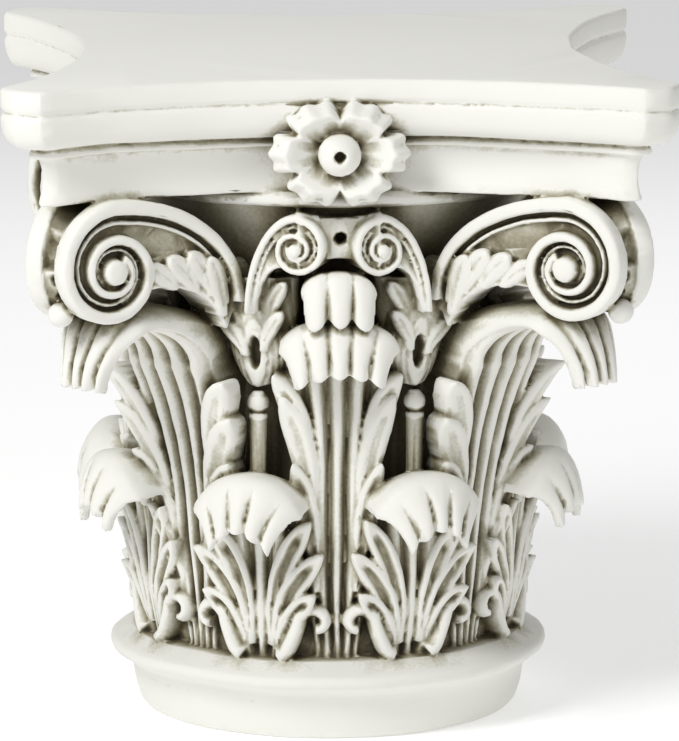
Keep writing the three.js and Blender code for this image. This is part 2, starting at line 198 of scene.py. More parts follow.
def slabPoint(angle, inset, height):
    quarter = round(angle / (pi / 2))
    local = angle - quarter * pi / 2
    share = abs(local) / (pi / 4)
    hollowShare = 1 - slab["hornSteps"] / slab["steps"]
    x, y = hollowSide(min(share / hollowShare, 1), inset)
    past = max((share - hollowShare) / (1 - hollowShare), 0)
    middle = (x + y) / 2
    bulge = slab["round"] * slab["hornBulge"] * sin(past * pi / 2)
    x, y = mix(x, middle, past) + bulge, mix(y, middle, past) + bulge
    corner = slab["hornRound"] * smoothStep(past, 0, 0.4) * (1 - smoothStep(past, 0.4, 1))
    x = min(x - corner, slab["halfWidth"] - inset)
    y = min(y, slab["halfWidth"] - inset)
    if local < 0:
        x = -x
    return Matrix.Rotation(quarter * pi / 2, 3, "Z") @ Vector((x, -y, height))


def makeSlab(whole):
    rows = slabProfile()

    def place(angle, level):
        return slabPoint(angle, *rows[level])

    addForm(whole, tower(4 * slab["steps"], len(rows) - 1, place))


# Round foot and bell

foot = {
    "radius": 124 * mm,
    "bandRadius": 134 * mm,
    "bandHeight": 27 * mm,
    "torusRadius": 149 * mm,
    "torusHeight": 43 * mm,
    "height": 56 * mm,
    "torusRoll": 6 * mm, "torusRise": 5 * mm, "torusStart": 0.35, "torusSweep": 0.72,
    "splay": 1.7,
    "leafRing": 126 * mm,
    "segments": 160,
}
bell = {
    "radius": 110 * mm, "lipRadius": 154 * mm, "lipHeight": 10 * mm,
    "flareHeight": 96 * mm, "flare": 2.4,
}
bell["leafBack"] = bell["radius"] - 4 * mm  # the backs of the leaves lie inside the bell


def footProfile():
    # radius and height from the bottom up
    base, band, torus = foot["radius"], foot["bandRadius"], foot["torusRadius"]
    bandTop, middle, top = foot["bandHeight"], foot["torusHeight"], foot["height"]
    roll, ring = foot["torusRoll"], foot["leafRing"]
    splaySteps, torusSteps = 5, 6
    rows = [(base - 3 * mm, 0), (base + 2 * mm, 0.8 * mm), (base + 5 * mm, 4 * mm)]
    rows += [(mix(base + 6 * mm, band, 0.6), bandTop * 0.55), (band, bandTop - 1 * mm)]
    rows += [(band + 0.2 * mm, bandTop), (band + 1.5 * mm, bandTop + 1.5 * mm)]
    for step in range(1, splaySteps + 1):
        share = step / splaySteps
        radius = mix(band + 1.5 * mm, torus - 1 * mm, share ** foot["splay"])
        rows.append((radius, mix(bandTop + 2 * mm, middle - 4 * mm, share)))
    for step in range(torusSteps + 1):
        angle = (step / torusSteps - foot["torusStart"]) * pi * foot["torusSweep"]
        rows.append((torus - roll + roll * cos(angle), middle + foot["torusRise"] * sin(angle)))
    rows += [(ring + 8 * mm, top - 1.5 * mm), (ring - 4 * mm, top)]
    return rows


def bellProfile():
    lipTop = slab["bottom"]
    lipBottom = lipTop - bell["lipHeight"]
    radius, lip, flare = bell["radius"], bell["lipRadius"], bell["flareHeight"]
    ring, footTop = foot["leafRing"], foot["height"]
    flareSteps = 8
    rows = [(ring - 4 * mm, footTop + 6 * mm), (ring - 7 * mm, footTop + 22 * mm)]
    rows += [(radius + 3 * mm, footTop + 60 * mm), (radius, lipBottom - flare)]
    for step in range(1, flareSteps + 1):
        share = step / flareSteps
        out = mix(radius, lip - 8 * mm, share ** bell["flare"])
        rows.append((out, lipBottom - flare * (1 - share)))
    rows += [(lip - 3 * mm, lipBottom + 0.5 * mm), (lip, lipBottom + 3 * mm)]
    rows += [(lip, lipTop - 3 * mm), (lip - 3 * mm, lipTop + 1 * mm)]
    return rows


def makeCore(whole):
    rows = footProfile() + bellProfile()

    def place(angle, level):
        return around(angle, *rows[level])

    addForm(whole, tower(foot["segments"], len(rows) - 1, place))


# Leaves. The body of a leaf takes the first half of the way, its curl the second.

allLeaves = {
    "curlEase": 0.8, "neckFlare": 3,
    "fluteWidth": 1.7, "slitWidth": 2.5,
    "edgeFall": 7 * mm, "edgeFallCurve": 5,
}
lowerLeaf = {
    "rise": 129 * mm, "curlRise": 97 * mm,
    "bodyRadius": 133 * mm, "neckRadius": 139 * mm, "crestRadius": 159 * mm, "reach": 178 * mm,
    "hood": 15 * mm, "lip": 8 * mm,
    "footWidth": 44 * mm, "bodyWidth": 56 * mm, "neckWidth": 70 * mm,
    "hoodWidth": 76 * mm, "tipWidth": 40 * mm,
    "droop": 15 * mm, "hang": 2 * mm,
    "ribs": 2.5, "topSpread": 0.9, "ribDepth": 6 * mm,
    "tongueDish": 5.5 * mm,
    "tongues": [(13, 0, 38, 0.24, 7.5), (11, 0.02, 43, 0.38, 8), (8, 0.06, 35, 0.49, 8)],
    "lobes": 4, "slitStart": 0.76, "slit": 4.5 * mm, "lobeHang": 2.5 * mm, "bulge": 3 * mm,
    "across": 72, "along": 96, "start": 0,
}
middleLeaf = {
    "rise": 234 * mm, "curlRise": 205 * mm,
    "bodyRadius": 134 * mm, "neckRadius": 143 * mm, "crestRadius": 164 * mm, "reach": 178 * mm,
    "hood": 14 * mm, "lip": 9 * mm,
    "footWidth": 36 * mm, "bodyWidth": 54 * mm, "neckWidth": 76 * mm,
    "hoodWidth": 80 * mm, "tipWidth": 62 * mm,
    "droop": 10 * mm, "hang": 4 * mm,
    "ribs": 2.5, "topSpread": 1, "ribDepth": 6.5 * mm,
    "tongueDish": 2.2 * mm,
    "tongues": [(14, 0.12, 28, 0.33, 7), (16, 0.2, 35, 0.44, 8.5), (19, 0.28, 39, 0.475, 8)],
    "lobes": 5, "slitStart": 0.6, "slit": 4 * mm, "lobeHang": 3 * mm, "bulge": 4 * mm,
    "across": 72, "along": 130, "start": 0,
}
cornerLeaf = {
    "rise": 243 * mm, "curlRise": 197 * mm,
    "bodyRadius": 134 * mm, "neckRadius": 168 * mm, "crestRadius": 212 * mm, "reach": 243 * mm,
    "hood": 14 * mm, "lip": 11 * mm,
    "footWidth": 34 * mm, "bodyWidth": 60 * mm, "neckWidth": 76 * mm,
    "hoodWidth": 66 * mm, "tipWidth": 34 * mm,
    "droop": 2 * mm, "hang": 1 * mm,
    "ribs": 3, "topSpread": 0.85, "ribDepth": 7 * mm,
    "tongueDish": 2 * mm,
    "tongues": [(14, 0.08, 32, 0.25, 8.5), (17, 0.15, 39, 0.34, 9.5), (20, 0.22, 44, 0.42, 10),
                (23, 0.3, 44, 0.485, 9)],
    "lobes": 4, "slitStart": 0.66, "slit": 5 * mm, "lobeHang": 4 * mm, "bulge": 5 * mm,
    "across": 84, "along": 140, "start": 0,
}
crownLeaf = {
    "rise": 266 * mm, "curlRise": 242 * mm,
    "bodyRadius": 134 * mm, "neckRadius": 150 * mm, "crestRadius": 164 * mm, "reach": 175 * mm,
    "hood": 12 * mm, "lip": 8 * mm,
    "footWidth": 20 * mm, "bodyWidth": 30 * mm, "neckWidth": 44 * mm,
    "hoodWidth": 50 * mm, "tipWidth": 46 * mm,
    "droop": 5 * mm, "hang": 4 * mm,
    "ribs": 1.5, "topSpread": 1, "ribDepth": 4 * mm,
    "lobes": 3, "slitStart": 0.6, "slit": 5 * mm, "lobeHang": 7 * mm, "bulge": 3 * mm,
    "across": 44, "along": 60, "start": 190 * mm,
}


def curlAngle(way):
    # half a turn, from the neck over the crest to the tip
    return pi * (1 - max(way * 2 - 1, 0) ** allLeaves["curlEase"])


def leafSection(leaf, way, front):
    curlHeight = foot["height"] + leaf["curlRise"]
    if way <= 0.5:
        rise = way * 2
        belly = (leaf["bodyRadius"] - foot["leafRing"]) * sin(min(rise * 2, 1) * pi / 2)
        flare = (leaf["neckRadius"] - leaf["bodyRadius"]) * rise ** allLeaves["neckFlare"]
        radius = foot["leafRing"] + belly + flare if front else bell["leafBack"]
        return radius, mix(foot["height"] - 4 * mm + leaf["start"], curlHeight, rise)
    angle = curlAngle(way)
    thickness = mix(leaf["hood"], leaf["lip"], smoothStep(cos(angle), 0, 1)) if front else 0
    inner = leaf["neckRadius"] if front else bell["leafBack"]
    outward = leaf["reach"] - thickness - leaf["crestRadius"]
    spread = leaf["crestRadius"] - inner if cos(angle) < 0 else outward
    lift = leaf["rise"] + foot["height"] - thickness - curlHeight
    return leaf["crestRadius"] + spread * cos(angle), curlHeight + lift * sin(angle)


def leafHalfWidth(leaf, way):
    width = mix(leaf["footWidth"], leaf["bodyWidth"], smoothStep(way, 0, 0.2))
    width = mix(width, leaf["neckWidth"], smoothStep(way, 0.3, 0.5))
    width = mix(width, leaf["hoodWidth"], smoothStep(way, 0.5, 0.65))
    return mix(width, leaf["tipWidth"], smoothStep(way, 0.75, 1)) / 2


def ribChannel(leaf, across, way):
    # 0 on a rib and 1 in the bottom of a channel
    spread = mix(1, leaf["topSpread"], min(way * 2, 1))
    wave = 0.5 - 0.5 * cos(2 * pi * abs(across) * leaf["ribs"] * spread)
    return wave ** allLeaves["fluteWidth"]


def leafPoint(leaf, across, along, side):
    way = (along + 1) / 2
    front = side == 1
    radius, height = leafSection(leaf, way, front)
    curl = smoothStep(way, 0.45, 0.75)
    tip = smoothStep(way, 0.82, 1)
    lobe = abs(cos(pi * leaf["lobes"] * across / 2))
    slit = (1 - lobe) ** allLeaves["slitWidth"]
    sideways = across * leafHalfWidth(leaf, way)
    drop = leaf["droop"] * across ** 2 * curl + (leaf["hang"] + leaf["lobeHang"] * lobe) * tip
    if front:
        channel = ribChannel(leaf, across, way) * smoothStep(way, -0.02, 0.06)
        channel *= 1 - smoothStep(way, 0.62, 0.82)
        radius -= leaf["ribDepth"] * channel * (1 - curl * 0.7)
        height += leaf["ribDepth"] * channel * curl * 0.5
        fall = allLeaves["edgeFall"] * abs(across) ** allLeaves["edgeFallCurve"]
        radius -= fall * (1 - curl)
    else:
        frontRadius, frontHeight = leafSection(leaf, way, True)
        thin = curl * (1 - sqrt(max(1 - 0.9 * across ** 4, 0)))
        radius = mix(radius, frontRadius, thin)
        height = mix(height, frontHeight, thin)
        cut = leaf["slit"] * slit * smoothStep(way, leaf["slitStart"], 0.95)
        cut -= leaf["bulge"] * lobe * tip
        angle = curlAngle(way)
        radius -= cut * max(cos(angle), 0) * curl
        height -= cut * sin(angle) * curl
    wrap = max(leafSection(leaf, way, True)[0], leaf["bodyRadius"])
    return around(sideways / wrap, radius, height - drop)


def makeLeaf(whole, leaf, turns):
    addForm(whole, block(leaf["across"], leaf["along"], partial(leafPoint, leaf)), turns)


# A tongue is a side lobe of a leaf. It rises beside the middle of the leaf and bends
# outwards. Its row holds the start and the tip, each sideways in mm and as a share of
# the leaf's length, and its half width in mm.

tongue = {
    "bend": 2.2, "dome": 5.5 * mm, "tipLift": 6 * mm, "sunk": 2 * mm, "thickness": 14 * mm,
    "across": 22, "along": 34,
}


def tonguePoint(leaf, row, across, along, front):
    startX, startWay, tipX, tipWay, halfWidth = row
    way = (along + 1) / 2
    length = 2 * leaf["curlRise"]
    bend = tongue["bend"]
    sideStep = (tipX - startX) * mm * bend * way ** 1.2
    step = Vector((sideStep, (tipWay - startWay) * length)).normalized()
    width = halfWidth * mm * mix(0.45, 1, smoothStep(way, 0, 0.65))
    width *= max(1 - max((way - 0.7) / 0.3, 0) ** 2, 0.02) ** 0.55
    x = mix(startX, tipX, way ** bend) * mm + step.y * across * width
    onLeaf = mix(startWay, tipWay, way) - step.x * across * width / length
    radius, height = leafSection(leaf, min(max(onLeaf, 0), 0.7), True)
    if front:
        dome = sqrt(max(1 - 0.9 * across ** 2, 0)) * mix(0.6, 1, smoothStep(way, 0, 0.5))
        dish = (1 - smoothStep(abs(across), 0.12, 0.62)) * smoothStep(way, 0.05, 0.3)
        dish *= 1 - smoothStep(way, 0.82, 0.96)
        relief = tongue["dome"] * dome - leaf["tongueDish"] * dish
        radius += relief + tongue["tipLift"] * way ** 3 - tongue["sunk"]
    else:
        radius -= tongue["thickness"]
    return around(x / leaf["bodyRadius"], radius, height)


def makeTongues(whole, leaf, turns):
    for row in leaf["tongues"]:
        place = partial(tonguePoint, leaf, row)
        addForm(whole, block(tongue["across"], tongue["along"], place), turns, (1, -1))


# Curl at the foot of a leaf, rolled in towards its eye

footCurl = {
    "x": 35 * mm, "start": 12 * mm, "height": 25 * mm, "radius": 10 * mm,
    "tail": 24 * mm, "tailShare": 0.25, "halfWidth": 4.4 * mm, "rise": 11 * mm,
    "sweep": 1.45, "tighten": 0.1,
}


def curlPath(way):
    # up from the foot, then round and in
    inner = footCurl["x"] - footCurl["radius"]
    tail = footCurl["tailShare"]
    if way < tail:
        up = way / tail
        return mix(footCurl["start"], inner, sqrt(up)), mix(-footCurl["tail"], 0, up)
    angle = (way - tail) / (1 - tail) * footCurl["sweep"] * pi
    radius = footCurl["radius"] * (1 - footCurl["tighten"] * angle)
    return footCurl["x"] - radius * cos(angle), radius * sin(angle)


def curlPoint(across, along, front):
    way = (along + 1) / 2
    x, up = curlPath(way)
    aheadX, aheadUp = curlPath(min(way + 0.02, 1))
    backX, backUp = curlPath(max(way - 0.02, 0))
    step = Vector((aheadX - backX, aheadUp - backUp)).normalized()
    width = footCurl["halfWidth"] * mix(1.2, 0.8, way)
    x += step.y * across * width
    up -= step.x * across * width
    radius = bell["radius"]
    if front:
        radius = foot["leafRing"] + footCurl["rise"] * sqrt(max(1 - 0.8 * across ** 2, 0))
    return around(x / foot["leafRing"], radius, foot["height"] + footCurl["height"] + up)


def makeLeaves(whole):
    eighths = [22.5 + 45 * index for index in range(8)]
    makeTongues(whole, lowerLeaf, eighths)
    makeTongues(whole, middleLeaf, fourSides)
    makeTongues(whole, cornerLeaf, fourCorners)
    addForm(whole, block(10, 60, curlPoint), eighths, (1, -1))
    makeLeaf(whole, lowerLeaf, eighths)
    makeLeaf(whole, middleLeaf, fourSides)
    makeLeaf(whole, crownLeaf, fourSides)
    makeLeaf(whole, cornerLeaf, fourCorners)


# Scrolls

cornerScroll = {
    "eyeX": 146 * mm, "eyeY": 184 * mm, "eyeDrop": 46 * mm, "turn": 30, "hand": 1,
    "radius": 47 * mm, "shrink": 0.107,
    "stemX": 62 * mm, "stemDrop": 66 * mm,
    "coil": 1.9, "rise": 2 * mm, "sink": 8 * mm, "eyeRadius": 10 * mm,
    "bandWidth": 10 * mm, "depth": 40 * mm, "waist": 0.82,
    "webEdge": [(-6, -22), (-40, -6), (-74, -14), (-87, -46)],
    "sheath": [(-84, -36, -72, 4, 8), (-76, -22, -56, 8, 8),
               (-62, -18, -40, 6, 7.5), (-46, -16, -24, 2, 6.5)],
}
middleScroll = {
    "eyeX": 29 * mm, "eyeY": 158 * mm, "eyeDrop": 37 * mm, "turn": -17, "hand": -1,
    "radius": 24 * mm, "shrink": 0.12,
    "stemX": 60 * mm, "stemDrop": 72 * mm,
    "coil": 1.8, "rise": 1 * mm, "sink": 5.5 * mm, "eyeRadius": 5 * mm,
    "bandWidth": 5.5 * mm, "depth": 28 * mm,
    "webEdge": [(-4, -14), (-14, -9), (-24, -15), (-28, -44)],
}
stalk = {"share": 0.3, "upHandle": 0.62, "sideHandle": 0.55, "footDrop": 8 * mm, "overlap": 2 * mm}
rollFillet = {"inset": 1.4, "width": 0.3, "sink": 0.3}  # shares of the band's width and sink
stripPanel = {"start": 46, "end": 86, "edge": 4, "depth": 5 * mm}  # degrees round the roll
stripHoles = {"places": [(98, 7), (120, 5)], "width": 0.12, "depth": 7 * mm}
hornBall = {"radius": 8.5 * mm, "reach": 258 * mm, "height": 299 * mm}


def scrollPlace(scroll, across, up, out):
    turn = radians(scroll["turn"])
    x = scroll["eyeX"] + across * scroll["hand"] * cos(turn) - out * sin(turn)
    y = scroll["eyeY"] + across * scroll["hand"] * sin(turn) + out * cos(turn)
    return Vector((x, -y, slab["bottom"] - scroll["eyeDrop"] + up))


def scrollRadius(scroll, angle):
    return scroll["radius"] * exp(-scroll["shrink"] * angle)


def faceHeight(scroll, radius):
    # sunk floor of a roll with its eye
    floor = -scroll["sink"] * 0.8
    dome = scroll["rise"] + 2 * mm * sqrt(max(1 - (radius / scroll["eyeRadius"]) ** 2, 0))
    return mix(dome, floor, smoothStep(radius, scroll["eyeRadius"] * 0.75, scroll["eyeRadius"]))


def stripRecess(angle, share):
    # sunk panel and two drilled holes in the strip between the faces of a corner roll
    start, end, edge = stripPanel["start"], stripPanel["end"], stripPanel["edge"]
    inPanel = smoothStep(share, 0.2, 0.28) * (1 - smoothStep(share, 0.72, 0.8))
    inPanel *= smoothStep(angle, start, start + edge) * (1 - smoothStep(angle, end - edge, end))
    sunk = stripPanel["depth"] * inPanel
    for middle, halfAngle in stripHoles["places"]:
        away = hypot((angle - middle) / halfAngle, (share - 0.5) / stripHoles["width"])
        sunk += stripHoles["depth"] * (1 - smoothStep(away, 0.6, 1.1))
    return sunk


def scrollDrum(scroll, faceRings, crossRings, place):
    last = 2 * faceRings + crossRings

    def ringPlace(angle, level):
        angle = angle % (2 * pi)
        closing = smoothStep(angle, 1.55 * pi, 2 * pi)
        rim = mix(scrollRadius(scroll, angle), scroll["radius"], closing)
        fromFront, fromBack = level / faceRings, (last - level) / faceRings
        radius = rim * max(min(fromFront, fromBack, 1), 0.02)
        share = min(max((level - faceRings) / crossRings, 0), 1)
        height = faceHeight(scroll, radius)
        if scroll is cornerScroll and min(fromFront, fromBack) >= 1:
            radius -= stripRecess(degrees(angle), share)
        return place(radius * sin(angle), radius * cos(angle), height, share)

    return tower(120, last, ringPlace)


def curveAt(points, way):
    # on a smooth curve from the first point to the last, pulled by the two between
    first, second, third, last = points
    rest = 1 - way
    place = rest ** 3 * first + 3 * rest ** 2 * way * second
    return place + 3 * rest * way ** 2 * third + way ** 3 * last


def stalkPath(scroll):
    # outer edge of the stalk, from the cup to the top of the scroll
    footAcross = (scroll["stemX"] - scroll["eyeX"]) * scroll["hand"] / cos(radians(scroll["turn"]))
    footUp = scroll["eyeDrop"] - scroll["stemDrop"]
    start = Vector((footAcross - stalk["overlap"], footUp - stalk["footDrop"]))
    end = Vector((stalk["overlap"], scroll["radius"]))
    height = end.y - start.y
    handleUp = start + Vector((0, height * stalk["upHandle"]))
    handleSide = end + Vector((footAcross * stalk["sideHandle"], 0))
    return partial(curveAt, (start, handleUp, handleSide, end))


def pathInside(path, way, inward):
    ahead = (path(min(way + 0.01, 1)) - path(max(way - 0.01, 0))).normalized()
    place = path(way)
    return place.x + ahead.y * inward, place.y - ahead.x * inward


def rollStrip(scroll, place, inset, width, top):
    # band that climbs the stalk and winds round into the eye
    path = stalkPath(scroll)
    stalkShare = stalk["share"]

    def stripPlace(across, along, side):
        way = (along + 1) / 2
        inward = inset + width * (across + 1) / 2
        if way < stalkShare:
            climb = way / stalkShare
            x, up = pathInside(path, climb, inward * mix(0.7, 1, climb))
        else:
            angle = (way - stalkShare) / (1 - stalkShare) * scroll["coil"] * 2 * pi
            outer = scrollRadius(scroll, angle)
            radius = outer - inward * (outer / scroll["radius"]) ** 0.7
            x, up = radius * sin(angle), radius * cos(angle)
        height = top - 2 * mm * across ** 6 if side == 1 else -scroll["sink"] - 3 * mm
        return place(x, up, height, 0)

    return block(10, 360, stripPlace)


def makeRoll(whole, scroll, place):
    band = scroll["bandWidth"]
    inset, width = band * rollFillet["inset"], band * rollFillet["width"]
    top = -scroll["sink"] * rollFillet["sink"]
    addForm(whole, rollStrip(scroll, place, 0, band, scroll["rise"]), fourSides, (1, -1))
    addForm(whole, rollStrip(scroll, place, inset, width, top), fourSides, (1, -1))
    addForm(whole, scrollWeb(scroll, place), fourSides, (1, -1))


def scrollWeb(scroll, place):
    # channel floor between the stalk and the roll, down to the edge of the sheath
    path = stalkPath(scroll)
    edge = [Vector(point) * mm for point in scroll["webEdge"]]

    def channelPlace(along, up, side):
        way, share = (along + 1) / 2, (up + 1) / 2
        high = Vector(pathInside(path, 1 - way, 0.5 * mm))
        point = curveAt(edge, way).lerp(high, share)
        height = -scroll["sink"] * (0.5 + 0.3 * smoothStep(share, 0, 0.5))
        return place(point.x, point.y, height if side == 1 else -scroll["depth"], 0)

    return block(40, 30, channelPlace)


# A lobe in a plane, its row as a tongue's: start, tip and half width in mm

def lobePoint(row, across, along):
    startX, startUp, tipX, tipUp, halfWidth = row
    way = (along + 1) / 2
    step = Vector(((tipX - startX) * 1.6 * way ** 0.6, tipUp - startUp)).normalized()
    width = halfWidth * mix(0.5, 1, smoothStep(way, 0, 0.6))
    width *= sqrt(max(1 - max((way - 0.65) / 0.35, 0) ** 2, 0.01))
    x = mix(startX, tipX, way ** 1.6) + step.y * across * width
    up = mix(startUp, tipUp, way) - step.x * across * width
    lift = 4 * sqrt(max(1 - 0.9 * across ** 2, 0)) + 4 * way ** 2 - 1.6 * (1 - abs(across)) ** 3
    return x * mm, up * mm, lift * mm


def sheathLobe(row):
    def sheathPlace(across, along, side):
        x, up, lift = lobePoint(row, across, along)
        height = lift - cornerScroll["sink"] * 0.7 if side == 1 else -cornerScroll["depth"] * 0.5
        return cornerPlace(x, up, height, 0)

    return block(16, 26, sheathPlace)


def cornerPlace(across, up, out, share):
    # from the front face of a corner roll at 0 to its other face at 1
    pinch = mix(1, cornerScroll["waist"], 1 - abs(share * 2 - 1))
    point = scrollPlace(cornerScroll, across * pinch, up * pinch, out)
    return point.lerp(swapped(point), share)


def middlePlace(across, up, out, share):
    return scrollPlace(middleScroll, across, up, out - middleScroll["depth"] * share)


def makeScrolls(whole):
    addForm(whole, scrollDrum(cornerScroll, 44, 24, cornerPlace), fourSides)
    makeRoll(whole, cornerScroll, cornerPlace)
    for row in cornerScroll["sheath"]:
        addForm(whole, sheathLobe(row), fourSides, (1, -1))
    ball = bmesh.new()
    bmesh.ops.create_uvsphere(ball, u_segments=20, v_segments=14, radius=hornBall["radius"])
    reach = hornBall["reach"] / sqrt(2)
    bmesh.ops.translate(ball, verts=ball.verts, vec=(reach, -reach, hornBall["height"]))
    addForm(whole, ball, fourSides)
    addForm(whole, scrollDrum(middleScroll, 26, 4, middlePlace), fourSides, (1, -1))
    makeRoll(whole, middleScroll, middlePlace)


# Web between the small scrolls, with its drilled hole

web = {
    "halfWidth": 27 * mm, "top": 361 * mm, "bottom": 325 * mm, "middleHeight": 0.75,
    "reach": 159 * mm, "hollow": 5 * mm, "back": 130 * mm,
    "hole": 4.5 * mm, "holeX": 1 * mm, "holeDepth": 12 * mm,
}


def webPlace(across, along, front):
    x = across * web["halfWidth"]
    pinch = mix(web["middleHeight"], 1, across ** 2)
    height = mix(web["bottom"], web["top"], (along * pinch + 1) / 2)
    out = web["reach"] - web["hollow"] * (1 - across ** 2)
    away = hypot(x - web["holeX"], height - mix(web["bottom"], web["top"], 0.5))
    out -= web["holeDepth"] * (1 - smoothStep(away, web["hole"] * 0.6, web["hole"]))
    return Vector((x, -(out if front else web["back"]), height))


def makeWeb(whole):
    addForm(whole, block(40, 32, webPlace), fourSides)


# Stem, bead and cup between the leaves

stem = {
    "angle": 22.5, "radius": 134 * mm, "top": 222 * mm, "thickness": 13 * mm, "bead": 7.5 * mm,
    "cupFoot": 240 * mm, "cupTop": 314 * mm, "cupWidth": 50 * mm, "cupDepth": 22 * mm,
    "eyeRise": 24 * mm, "eyeWidth": 4.5 * mm, "eyeHeight": 13 * mm, "eyeDepth": 9 * mm,
    "ringDepth": 1.6 * mm, "ringStep": 0.75,
    "fringe": [(6, 262, 21, 286, 5.5), (9, 276, 25, 304, 6), (8, 292, 20, 324, 6),
               (-6, 266, -19, 292, 5), (-8, 284, -21, 312, 5.5)],
}


def shaftRows():
    top, bead, half = stem["top"], stem["bead"], stem["thickness"] / 2
    rows = [(half * 0.72, foot["height"] + 90 * mm), (half * 0.94, top - 3 * mm)]
    rows += [(half, top - 2 * mm), (half * 0.92, top), (bead * 0.5, top + 0.5 * mm)]
    for step in range(1, 8):
        angle = pi * step / 8
        rows.append((bead * sin(angle), top + bead - bead * cos(angle)))
    return rows + [(bead * 0.5, top + bead * 2)]


def makeStems(whole):
    rows = shaftRows()
    turn = radians(stem["angle"])

    def shaftPlace(angle, level):
        radius, height = rows[level]
        return around(turn, stem["radius"] + 1 * mm, height) + around(angle, radius, 0)

    def cupPlace(across, along, front):
        way = (along + 1) / 2
        halfWidth = stem["cupWidth"] / 2 * sqrt(1 - (1 - way) ** 2.2) + 2 * mm
        height = mix(stem["cupFoot"], stem["cupTop"], way)
        bulge = stem["cupDepth"] * sqrt(max(1 - 0.85 * across ** 2, 0)) * mix(0.55, 1, sqrt(way))
        eyeUp = height - stem["cupFoot"] - stem["eyeRise"]
        eye = hypot(across * halfWidth / stem["eyeWidth"], eyeUp / stem["eyeHeight"])
        bulge -= stem["eyeDepth"] * (1 - smoothStep(eye, 0.6, 1.0))
        ring = stem["ringDepth"] * max(cos(2 * pi * (eye - 1.1) / stem["ringStep"]), 0)
        bulge -= ring * smoothStep(eye, 1.05, 1.3) * (1 - way)
        radius = stem["radius"] - 8 * mm + bulge if front else bell["leafBack"]
        return around(turn + across * halfWidth / stem["radius"], radius, height)

    def fringePlace(row, across, along, front):
        x, height, lift = lobePoint(row, across, along)
        bulge = 8 * mm + lift if front else -10 * mm
        return around(turn + x / stem["radius"], stem["radius"] + bulge, height)

    for row in stem["fringe"]:
        addForm(whole, block(14, 24, partial(fringePlace, row)), fourSides, (1, -1))
    addForm(whole, tower(28, len(rows) - 1, shaftPlace), fourSides, (1, -1))
    addForm(whole, block(48, 64, cupPlace), fourSides, (1, -1))


# Flower on each side of the slab

flower = {
    "halfWidth": 45 * mm, "halfHeight": 35 * mm, "height": 402 * mm,
    "petals": 6, "petalAngle": 0.6, "frill": 0.035, "tipBend": 11 * mm, "sideBend": 4 * mm,
    "reach": 19 * mm, "ball": 14 * mm, "ballLevels": 24,
    "hole": 4 * mm, "ballSunk": 9 * mm, "holeDepth": 9 * mm,
}


def petalPlace(middle, across, along, front):
    way = (along + 1) / 2
    frill = 1 + flower["frill"] * cos(across * 3 * pi) * way - 0.2 * across ** 4
    reach = mix(0.1, 1, way) * frill
    angle = middle + across * flower["petalAngle"] * mix(1, 0.85, way)
    out = flower["reach"] * (0.1 + 0.9 * min(way * 1.3, 1) ** 1.6)
    out -= flower["tipBend"] * smoothStep(way, 0.72, 1)
    out -= flower["sideBend"] * across ** 2 + 2 * mm * (0.5 - 0.5 * cos(across * 3 * pi)) * way
    if not front:
        out = min(out - 7 * mm, -slab["fasciaInset"] - 4 * mm) if way < 0.75 else out - 6 * mm
    x = sin(angle) * reach * flower["halfWidth"]
    z = cos(angle) * reach * flower["halfHeight"]
    return Vector((x, -(slab["waist"] + out), flower["height"] + z))


def ballPlace(angle, level):
    tilt = pi * (0.03 + 0.94 * level / flower["ballLevels"])
    radius = flower["ball"] * sin(tilt)
    out = flower["ball"] * cos(tilt)
    if out > 0:
        out -= flower["holeDepth"] * (1 - smoothStep(radius, flower["hole"] * 0.7, flower["hole"]))
    x, z = radius * sin(angle), radius * cos(angle)
    middle = slab["waist"] + flower["reach"] - flower["ballSunk"]
    return Vector((x, -(middle + out), flower["height"] + z))


def makeFlowers(whole):
    for petal in range(flower["petals"]):
        middle = 2 * pi * (petal + 0.5) / flower["petals"]
        addForm(whole, block(22, 22, partial(petalPlace, middle)), fourSides)
    addForm(whole, tower(40, flower["ballLevels"], ballPlace), fourSides)


# The whole casting: all closed forms are fused on a fine grid, as one cast skin

uneven = {
    "seed": 7, "scale": 20, "amount": 0.9 * mm, "fineScale": 110, "fineAmount": 0.35 * mm,
}
casting = {"grid": 1.15 * mm, "smoothRounds": 1, "triangles": 190000}


def fuse(bm):
    mesh = bpy.data.meshes.new("castCapital")
    bm.to_mesh(mesh)
    bm.free()
    piece = bpy.data.objects.new("castCapital", mesh)
    scene.collection.objects.link(piece)
    remesh = piece.modifiers.new("fuse", "REMESH")
    remesh.mode = "VOXEL"
    remesh.voxel_size = casting["grid"]
    soften = piece.modifiers.new("soften", "SMOOTH")
    soften.factor = 0.5
    soften.iterations = casting["smoothRounds"]
    bake(piece)
    print("fused", len(piece.data.polygons), "faces")
    thin = piece.modifiers.new("thin", "DECIMATE")
    thin.ratio = min(casting["triangles"] / (2 * len(piece.data.polygons)), 1)
    bake(piece)
    print("thinned to", len(piece.data.polygons), "faces")
    return piece


def keepSkin(piece):
    # drops closed-off hollows inside the casting, so that only its outer skin is left
    bm = bmesh.new()
    bm.from_mesh(piece.data)
    left, skin = set(bm.verts), set()
    while left:
        island = {left.pop()}
        rest = list(island)
        while rest:
            vert = rest.pop()
            for edge in vert.link_edges:
                other = edge.other_vert(vert)
                if other in left:
                    left.remove(other)
                    island.add(other)
                    rest.append(other)
        if len(island) > len(skin):
            skin = island
    bmesh.ops.delete(bm, geom=[vert for vert in bm.verts if vert not in skin], context="VERTS")
    bm.to_mesh(piece.data)
    bm.free()
    print("skin has", len(piece.data.polygons), "faces")


def bake(piece):
    # keeps what the modifiers made
    view = bpy.context.evaluated_depsgraph_get()
    mesh = bpy.data.meshes.new_from_object(piece.evaluated_get(view))
    old = piece.data
    piece.modifiers.clear()
    piece.data = mesh
    bpy.data.meshes.remove(old)


